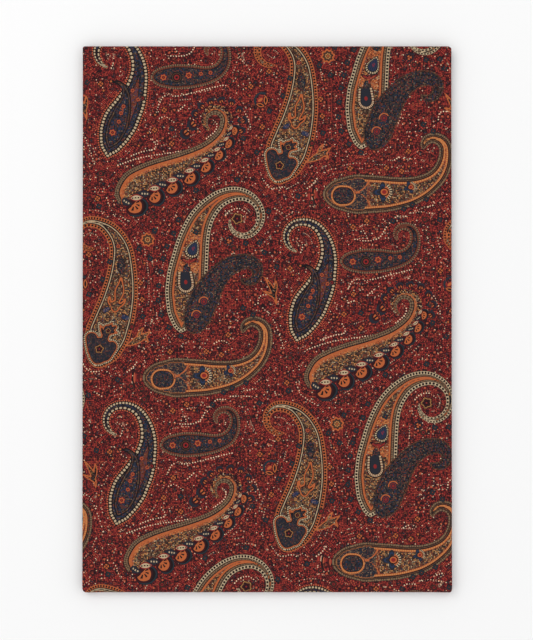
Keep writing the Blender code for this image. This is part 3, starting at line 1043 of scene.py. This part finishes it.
def groundInk(place, distance, edge):
    # dark red cloth under rows of lighter dots that run beside the outlines, with dark blots and rings
    beside = distance < groundDots["besideOutlines"]
    x, y, _ = split(place)
    rowed = newNode("CombineXYZ", {0: choose(beside, x, edge), 1: choose(beside, y, distance)})
    reach, (random, _, _) = cells(Wire(rowed.outputs[0]), groundDots["size"], groundDots["randomness"])
    isCloud = cloudy(place, **groundDots["clouds"]) < groundDots["cloudLevel"]
    maroon = choose(isCloud, groundDots["plainMaroon"], groundDots["cloudMaroon"])
    dotInk, _ = steppedInks(random, 0.0, 1.0, groundDots["inks"])
    colour = blend(reach < groundDots["radius"], blend(maroon, "ground", "maroon"), dotInk)
    isBlot = scattered(place, **groundDots["blots"])
    colour = blend(isBlot * groundDots["blotStrength"], colour, "dark")
    # dark rings about a teal or orange dot
    reach, (chance, middle, _) = cells(place, groundRings["size"], groundRings["randomness"])
    radius = reach * groundRings["size"]
    isHere = chance < groundRings["share"]
    isRing = around(radius, groundRings["radius"], groundRings["width"]) & isHere
    middleInk, _ = steppedInks(middle, 0.0, 1.0, groundRings["inks"])
    return paint(colour, (isRing * groundRings["strength"], "dark"),
                 ((radius < groundRings["middle"]) & isHere, middleInk),
                 (scattered(place, **groundDots["pale"]), "pale"))


# Rows of pale dots that follow the outlines here and there: distances from the outline, pitch, radius as
# a share of the pitch. They show in stripes along the contours of soft clouds, each row shifted a little.
haloRows = {"distances": [4.6, 8.8, 13.0], "pitch": 2.0, "radius": 0.23, "strength": 0.55,
            "clouds": {"size": 16.0, "detail": 1.0}, "contours": 3.0, "shift": 0.33, "showsAbove": 0.79}


def addHaloRows(colour, place, distance, edge):
    clouds = cloudy(place, **haloRows["clouds"]) * haloRows["contours"]
    u = fromMiddle(edge * (1 / haloRows["pitch"]))
    for number, rowDistance in enumerate(haloRows["distances"]):
        v = (distance - rowDistance) * (1 / haloRows["pitch"])
        isHere = calc("FRACT", clouds + haloRows["shift"] * number) > haloRows["showsAbove"]
        isDot = (roundness(u, v) < haloRows["radius"]) & isHere
        colour = blend(isDot * haloRows["strength"], colour, "pale")
    return colour


coreStart = -5.0  # where the first ink of a core starts along the spine, before its first point


def bandInks(shape, depth, along):
    # the ink and the specks' strength of one shape from its edge inward, and along its core
    deepest = shape["bands"][-1][0]
    colour, strength = steppedInks(depth, 0.0, deepest + 1.0, shape["bands"], plain=0.0)
    if "core" in shape:
        core = shape["core"]
        coreInk, coreStrength = steppedInks(along, coreStart, core[-1][0], core, plain=0.0)
        isCore = depth > deepest
        colour, strength = blend(isCore, colour, coreInk), choose(isCore, strength, coreStrength)
    return colour, strength


def beadPrint(x, y, code, size):
    # between round and square, and a little taller than long
    u, v = fromMiddle(x), y * 0.92
    square = calc("MAXIMUM", absolute(u), absolute(v))
    steps = [(number + 0.5, name) for number, name in enumerate(beadInks)]
    beadInk, _ = steppedInks(code, -0.5, len(beadInks) - 0.5, steps)
    return beadInk, choose(0.5, roundness(u, v), square) < size


def scallopPrint(u, y, exists):
    # one scallop, of size 1: crescent, dark body, ribbed fan, lens and dart
    radius = roundness(u, y)
    outer = roundness(*turned(u, y, 0, centre=(0.26, -0.18)))
    crescent = (radius > 1.06) & (outer < 1.26)
    fan = (radius < 0.84) & (y * 0.95 - u * 0.31 < 0.40)
    ribX, ribY = turned(u, y, 0, centre=(-0.13, 0.38))
    ribs = fan & (wave(calc("ARCTAN2", ribY, ribX), 9) > 0.15) & around(roundness(ribX, ribY), 0.58, 0.24)
    lensX, lensY = turned(u, y, -20, centre=(0.54, 0.92), halves=(0.90, 0.33))
    lens = absolute(lensY) * 0.75 + lensX * lensX
    seam = (absolute(lensY) < 0.26) & (fromMiddle(lensX * 2.4) > -0.10) & (lens < 0.62)
    dartX, dartY = turned(u, y, -34, centre=(-1.10, 0.98), halves=(1.12, 0.46))
    dart = absolute(dartX) + absolute(dartY) * (calc("MINIMUM", dartX, 1.4) * -0.35 + 0.8)
    dartBeads = (absolute(fromMiddle(dartX * 3.2)) < 0.26) & (absolute(dartY) < 0.24)
    dartBeads = dartBeads & (dartX > -0.30) & (dart < 0.62)
    colour, cover = stacked((crescent, "dark"), (crescent & around(outer, 1.12, 0.085), "teal"),
                            (radius < 1.06, "maroon"), (fan, "orange"), (ribs, "black"), (lens < 1.0, "red"),
                            (lens < 0.70, "cream"), (seam, "dark"), (dart < 1.0, "maroon"),
                            (dart < 0.86, "navy"), (dartBeads, "cream"))
    return colour, cover & exists


# Ornaments that are nothing but rings, some with petals (how many, depth, base). Rings go from the middle
# outward, as (up to, ink), and all lengths are shares of the ornament's radius.
ringedOrnaments = {
    "dot": {"rings": [(0.60, "orange"), (1.0, "dark")]},
    "ring": {"rings": [(0.22, "dark"), (0.50, "red"), (0.70, "black"), (0.84, "brown"), (1.0, "black")]},
    "blueFlower": {"petals": (4, 0.12, 0.86),
                   "rings": [(0.24, "rust"), (0.40, "black"), (0.80, "teal"), (1.0, "dark")]},
    "quatrefoil": {"petals": (8, 0.10, 0.88),
                   "rings": [(0.14, "orange"), (0.26, "black"), (0.38, "amber"), (0.62, "brown"),
                             (0.72, "black"), (0.97, "orange")]},
    "rosette": {"petals": (6, 0.13, 0.85),
                "rings": [(0.24, "red"), (0.38, "black"), (0.62, "orange"), (0.80, "red"), (1.0, "navy")]},
}


def ringed(radius, steps):
    # inks from an ornament's middle outward, nothing past the last
    return steppedInks(radius, 0.0, 1.6, steps + [(1.6, "black", 0.0)])


def petalled(radius, angle, count, depth, base):
    return radius / (wave(angle, count) * depth + base)


def dashed(value, pitch, share):
    return calc("FRACT", value * pitch) < share


def squareFlower(u, v, radius, angle):
    # four blunt petals about a dark middle
    colour, cover = ringed(radius, [(0.14, "red"), (1.0, "dark")])
    return blend(around(radius, 0.53, 0.25) & (wave(angle, 4) > -0.60), colour, "orange"), cover


def sunflower(u, v, radius, angle):
    # petals that stand apart about an orange middle
    colour, cover = ringed(radius, [(0.12, "red"), (0.50, "orange"), (0.58, "black"), (0.68, "maroon"),
                                    (0.88, "navy"), (1.0, "teal")])
    slit = around(radius, 0.33, 0.17) & (wave(angle, 3) < -0.30)
    gap = (radius > 0.70) & (wave(angle, 9) < -0.45)
    return blend(slit, colour, "maroon"), cover & (1.0 - gap)


def leaves(u, v, radius, angle):
    # two pointed leaves and a bud inside a dark crescent
    crescent = around(radius, 0.86, 0.13) & (v * 0.62 - u * 0.78 > 0.12)
    bud = roundness(*turned(u, v, 35, centre=(-0.22, 0.04), halves=(0.32, 0.16)))
    layers = [(crescent, "teal"), (bud < 1.6, "red"), (bud < 1.0, "orange")]
    for degrees, centre, halves in ((90, (0.42, 0.0), (0.62, 0.30)), (-14, (-0.22, -0.58), (0.56, 0.28))):
        x, y = turned(u, v, degrees, centre, halves)
        tip = x * x + absolute(y)
        layers += [(tip < 1.15, "black"), (tip < 0.85, "orange"), (tip < 0.40, "black")]
    return stacked(*layers)


def dottedFlower(u, v, radius, angle):
    # an outline of pale stitches about a red middle
    bloom = petalled(radius, angle, 5, 0.11, 0.86)
    colour, cover = ringed(bloom, [(0.16, "red"), (0.34, "black"), (0.56, "maroon"), (0.66, "black"),
                                   (0.88, "amber"), (1.0, "black")])
    return blend(around(bloom, 0.77, 0.11) & dashed(angle, 4.0, 0.45), colour, "black"), cover


def curl(u, v, radius, angle):
    # an open orange arc over a red and blue heart
    arc = around(radius, 0.82, 0.10) & (v > 0.10)
    colour, cover = ringed(radius, [(0.24, "red"), (0.40, "navy"), (0.52, "red"), (0.64, "navy")])
    return blend(arc, colour, "orange"), calc("MAXIMUM", arc, cover)


def shell(u, v, radius, angle):
    # a small scallop: dark crescent over an orange fan
    inner = roundness(u, v + 0.34)
    fan = (inner < 0.46) & (v > -0.55)
    crescent = (inner > 0.78) & (radius < 1.0) & (v > -0.25)
    return stacked(((inner < 0.78) & (v > -0.70), "maroon"), (fan, "orange"),
                   (fan & (absolute(u) < 0.14), "black"), (crescent, "navy"))


def teardrop(u, v, radius, angle):
    # a hatched blue drop in a pale stitched outline
    drop = roundness(u / (v * -0.40 + 0.66), v)
    colour, cover = ringed(drop, [(0.20, "red"), (0.62, "navy"), (0.68, "black"), (0.84, "cream"),
                                  (0.93, "black")])
    hatch = dashed(u + v, 4.2, 0.5) & (drop < 0.58)
    gaps = around(drop, 0.76, 0.08) & dashed(angle, 3.5, 0.42)
    return paint(colour, (hatch, "blue"), (gaps, "black")), cover


def pansy(u, v, radius, angle):
    # dark petals on one side and a ribbed fan on the other, about a red middle
    back = petalled(radius, angle, 4, 0.26, 0.74)
    colour, cover = ringed(back, [(0.62, "navy"), (0.78, "blue"), (1.0, "navy")])
    fan = (v - absolute(u) * 0.75 > -0.12) & (radius < 0.92)
    rim = fan & (radius > 0.66)
    middle = roundness(*turned(u, v, 0, centre=(0.0, 0.14), halves=(0.32, 0.36)))
    colour = paint(colour, (fan, "orange"), (rim, "cream"), (rim & (wave(angle, 22) > 0.0), "black"),
                   (middle < 1.3, "black"), (middle < 1.0, "orange"), (middle < 0.6, "red"))
    return colour, calc("MAXIMUM", cover, fan)


def horseshoe(u, v, radius, angle):
    # open at the top, with a red spot in its dark inside
    isHigh = v > -0.2
    leaning = calc("MAXIMUM", v, 0.0) * 0.12 + absolute(u)
    shoe = choose(isHigh, roundness(u, v + 0.2), leaning) / 0.66
    colour, cover = ringed(shoe, [(0.60, "navy"), (0.68, "black"), (0.92, "cream"), (1.04, "black")])
    spot = roundness(*turned(u, v, 0, halves=(0.13, 0.17)))
    gaps = around(shoe, 0.80, 0.12) & dashed(choose(isHigh, angle, v), 5.0, 0.38)
    return paint(colour, (spot < 1.0, "red"), (gaps, "rust")), cover & (v < 0.80) & (v > -0.95)


drawnOrnaments = {"squareFlower": squareFlower, "sunflower": sunflower, "leaves": leaves,
                  "dottedFlower": dottedFlower, "curl": curl, "shell": shell, "teardrop": teardrop,
                  "pansy": pansy, "horseshoe": horseshoe}
ornamentKinds = [*ringedOrnaments, *drawnOrnaments]


def ornamentInks(kind, u, v):
    radius, angle = roundness(u, v), calc("ARCTAN2", v, u)
    if kind in drawnOrnaments:
        return drawnOrnaments[kind](u, v, radius, angle)
    rings = ringedOrnaments[kind]
    if "petals" in rings:
        radius = petalled(radius, angle, *rings["petals"])
    return ringed(radius, rings["rings"])


# Radii of the beads as shares of their pitch, and how far an ornament goes on past its rim, in millimetres
beadSizes = {"printBeads": 0.33, "printBeadsTwo": 0.31, "printNestedBeads": 0.31}
ornamentMargin = 0.25
kindReach = 0.3  # stored kinds are whole numbers, apart from rounding


def paisleyPrint(tree):
    # the whole print, layer upon layer
    beads = groupOf("beads", ["X", "Y", "Code", "Size"], beadPrint)
    scallop = groupOf("scallop", ["U", "Y", "Exists"], scallopPrint)
    place = stored(tree, "printPlace")
    edge, distance, kind = split(stored(tree, "printEdge"))
    speckReach, (random, _, _) = cells(place, specks["size"], specks["randomness"])
    isSpeck = speckReach < specks["radius"]
    speckColours = {name: steppedInks(random, 0.0, 1.0, steps)[0] for name, steps in speckInks.items()}

    def isKind(value, number):
        return around(value, float(number), kindReach)

    def addShapes(colour, shapes, inside, kind, depth, along):
        for number, (name, shape) in enumerate(shapes.items()):
            bands = groupOf(name, ["Depth", "Along"], lambda *wires, shape=shape: bandInks(shape, *wires))
            shapeInk, strength = useGroup(bands, depth, along)
            shapeInk = blend(strength & isSpeck, shapeInk, speckColours[shape.get("specks", "warm")])
            colour = blend(inside & isKind(kind, number), colour, shapeInk)
        return colour

    def addBeads(colour, name, inside=1.0):
        x, y, code = split(stored(tree, name))
        beadInk, isBead = useGroup(beads, x, y, code, beadSizes[name])
        return blend(isBead & inside, colour, beadInk)

    def addScallopInks(colour):
        number, distance, size = split(stored(tree, "printScallop"))
        y = scallopRow["middle"] - distance / size
        first = calc("FLOOR", number)
        there = (number > 1 - scallopRow["before"]) & (number < len(scallops) + scallopRow["after"])
        for ahead in (1.0, 0.0):
            which = first + ahead
            exists = there & (which > 0.5) & (which < len(scallops) + 0.5)
            scallopInk, cover = useGroup(scallop, (number - which) * scallopRow["spacing"], y, exists)
            colour = blend(cover, colour, scallopInk)
        return colour

    colour = groundInk(place, distance, edge)
    colour = addHaloRows(colour, place, distance, edge)
    x, y, _ = split(stored(tree, "printPinDots"))
    colour = blend(roundness(fromMiddle(x), y) < pinDots["radius"], colour, "pale")

    along, _, depth = split(stored(tree, "printSpine"))
    colour = addShapes(colour, largePaisleys, distance < 0.0, kind, depth, along)
    colour = addBeads(colour, "printBeads")
    colour = addBeads(colour, "printBeadsTwo")
    colour = addScallopInks(colour)

    along, distance, kind = split(stored(tree, "printNested"))
    depth = distance * -1.0
    colour = addShapes(colour, nestedShapes, depth > 0.0, kind, depth, along)
    colour = addBeads(colour, "printNestedBeads", depth > 0.0)

    u, v, outside = split(stored(tree, "printOrnament"))
    kind = stored(tree, "printOrnamentKind", "Fac")
    for number, name in enumerate(ornamentKinds):
        ornament = groupOf(name, ["U", "V"], lambda *wires, name=name: ornamentInks(name, *wires))
        ornamentInk, cover = useGroup(ornament, u, v)
        colour = blend(cover & (outside < ornamentMargin) & isKind(kind, number), colour, ornamentInk)
    return colour, 1.0


# Pick stitches that hold the hems, in millimetres: distance from the raw edge under the hem, width, pitch
# and the share of the pitch that shows
hemStitches = {"inset": 10.8, "width": 0.5, "pitch": 3.2, "share": 0.45, "strength": 0.8, "height": 2.0}

# Cloth finish: roughness, sheen, how far the print is dimmed toward the dark ground ink as painted shade
# between the folded layers, and the twill: its pitch and ridge height in millimetres, and how much darker
# its furrows are painted, as painted shade in them
printedFinish = {"roughness": 0.84, "specular": 0.10, "sheen": 0.02, "sheenRoughness": 0.45, "layerShade": 0.0,
                 "twill": 0.55, "twillHeight": 0.05, "furrowShade": 0.16, "bump": 0.5}
innerFinish = {"roughness": 0.88, "specular": 0.10, "sheen": 0.02, "sheenRoughness": 0.5, "layerShade": 0.30,
               "twill": 0.55, "twillHeight": 0.05, "furrowShade": 0.12, "bump": 0.5}


def clothMaterial(name, finish, cloth):
    material = bpy.data.materials.new(name)
    material.use_nodes = True
    tree = material.node_tree
    shader = tree.nodes["Principled BSDF"]
    shader.inputs["Roughness"].default_value = finish["roughness"]
    shader.inputs["Sheen Weight"].default_value = finish["sheen"]
    shader.inputs["Sheen Roughness"].default_value = finish["sheenRoughness"]
    shader.inputs["Specular IOR Level"].default_value = finish["specular"]
    printed = tree.nodes.new("ShaderNodeGroup")
    printed.node_tree = cloth
    colour = Wire(printed.outputs["Ink"])
    # painted shade: the print of the hidden inner layers is dimmed toward the dark ground ink, as if in
    # shade between the folded layers
    if finish["layerShade"]:
        colour = blend(finish["layerShade"], colour, "ground")
    x, y, inset = split(stored(tree, "printPlace"))
    isStitch = absolute(inset - hemStitches["inset"]) < hemStitches["width"] / 2
    isStitch = isStitch & dashed(x + y, 1 / hemStitches["pitch"], hemStitches["share"])
    ridge = calc("SINE", (x + y) * (2 * math.pi / finish["twill"])) * 0.5 + 0.5
    # painted shade: black laid into the twill's furrows, as if they were in shade
    furrowShade = (1.0 - ridge) * finish["furrowShade"]
    colour = paint(colour, (isStitch * hemStitches["strength"], "red"), (furrowShade, "black"))
    feed(shader.inputs["Base Color"], colour)
    bump = newNode("Bump", {"Strength": finish["bump"], "Distance": finish["twillHeight"] / 1000,
                            "Height": isStitch * hemStitches["height"] + ridge})
    feed(shader.inputs["Normal"], Wire(bump.outputs[0]))
    return material


def seatPiece(piece, material, node):
    piece.data.materials.append(material)
    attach(piece, "root")
    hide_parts(node)


millimetres = 1000.0  # in a metre


def dressSheet(piece, across, along, hasEndHem):
    # print and bake map of a sheet. The print is in millimetres.
    addPrint(piece, across * millimetres, along * millimetres, hasEndHem)
    addBakeMap(piece, across, along)
    print(piece.name, "made:", len(piece.data.polygons), "faces")


paisleyCloth = groupOf("paisley print", [], paisleyPrint)
printedCloth = clothMaterial("printed cloth", printedFinish, paisleyCloth)
innerCloth = clothMaterial("inner cloth", innerFinish, paisleyCloth)
print("cloth materials made")

shares = np.linspace(0.0, 1.0, sheetDetail["topAcross"] + 1)
topPlaces, topAcross = sheetPoints(topRows(), crossStations(shares), relief=True)
_, middleY, middleZ = middleOf(topPlaces).T
length = runningLength(middleOf(topPlaces))
isUpper = middleZ > sheetDetail["upperFrom"]
middleRow = int(np.argmin(np.abs(middleY) + np.where(isUpper, 0.0, 1.0)))
topAlong = topPlaces[middleRow, 0, 1] + length[middleRow] - length
topStretch = makeSheet("topStretch", topPlaces, flip=True)
dressSheet(topStretch, topAcross, topAlong, hasEndHem=False)
seatPiece(topStretch, printedCloth, "top_stretch")

shares = np.linspace(0.0, 1.0, sheetDetail["baseAcross"] + 1)
basePlaces, baseAcross = sheetPoints(baseRows(), crossStations(shares), relief=False)
baseAlong = topAlong[-1] - runningLength(middleOf(basePlaces))
baseStretch = makeSheet("baseStretch", basePlaces, flip=True)
dressSheet(baseStretch, baseAcross, baseAlong, hasEndHem=True)
seatPiece(baseStretch, printedCloth, "base_stretch")

half = sheetDetail["innerInsets"]
shares = np.array(half + [1.0 - share for share in reversed(half[:-1])])
innerPlaces, innerAcross = sheetPoints(innerRows(), crossStations(shares), relief=False)
innerAlong = topAlong[0] + runningLength(middleOf(innerPlaces))
innerStretches = makeSheet("innerStretches", innerPlaces, flip=False)
dressSheet(innerStretches, innerAcross, innerAlong, hasEndHem=True)
seatPiece(innerStretches, innerCloth, "inner_stretches")

# Table, light and camera
studio = {"table": (0.86, 0.86, 0.86), "tableSize": 4.0, "roughness": 0.9, "sky": 1.0, "softbox": 11.0,
          "softboxAt": (-1.1, 1.3, 1.9), "softboxSize": 1.4}
# A pixel's size on the cloth, the picture's size and the scarf's middle in pixels, and the cloth's height
view = {"pixelSize": 0.000812, "image": (533, 640), "centre": (267.2, 319.5), "cloth": 0.0078,
        "lens": 150.0, "sensor": 36.0}


def makeTable():
    half = studio["tableSize"] / 2
    mesh = bpy.data.meshes.new("table")
    corners = [(-half, -half, 0), (half, -half, 0), (half, half, 0), (-half, half, 0)]
    mesh.from_pydata(corners, [], [(0, 1, 2, 3)])
    table = bpy.data.objects.new("table", mesh)
    bpy.context.scene.collection.objects.link(table)
    material = bpy.data.materials.new("pale table")
    material.use_nodes = True
    shader = material.node_tree.nodes["Principled BSDF"]
    shader.inputs["Base Color"].default_value = studio["table"] + (1.0,)
    shader.inputs["Roughness"].default_value = studio["roughness"]
    mesh.materials.append(material)
    return table


def lightStudio():
    scene = bpy.context.scene
    world = bpy.data.worlds.new("studio")
    world.use_nodes = True
    world.node_tree.nodes["Background"].inputs["Color"].default_value = (1.0, 1.0, 1.0, 1.0)
    world.node_tree.nodes["Background"].inputs["Strength"].default_value = studio["sky"]
    scene.world = world
    lamp = bpy.data.lights.new("softbox", "AREA")
    lamp.energy = studio["softbox"]
    lamp.size = studio["softboxSize"]
    softbox = bpy.data.objects.new("softbox", lamp)
    softbox.location = studio["softboxAt"]
    toScarf = -softbox.location
    softbox.rotation_euler = toScarf.to_track_quat("-Z", "Y").to_euler()
    scene.collection.objects.link(softbox)
    scene.view_settings.view_transform = "Standard"


def placeCamera():
    # straight above, with the scarf where the photograph has it
    camera = bpy.data.objects.new("camera", bpy.data.cameras.new("camera"))
    camera.data.lens = view["lens"]
    camera.data.sensor_width = view["sensor"]
    width, height = view["image"]
    distance = height * view["pixelSize"] * view["lens"] / view["sensor"]
    x = (width / 2 - view["centre"][0]) * view["pixelSize"]
    y = (view["centre"][1] - height / 2) * view["pixelSize"]
    camera.location = (x, y, view["cloth"] + distance)
    bpy.context.scene.collection.objects.link(camera)
    bpy.context.scene.camera = camera


makeTable()
lightStudio()
placeCamera()
print("table, light and camera placed")
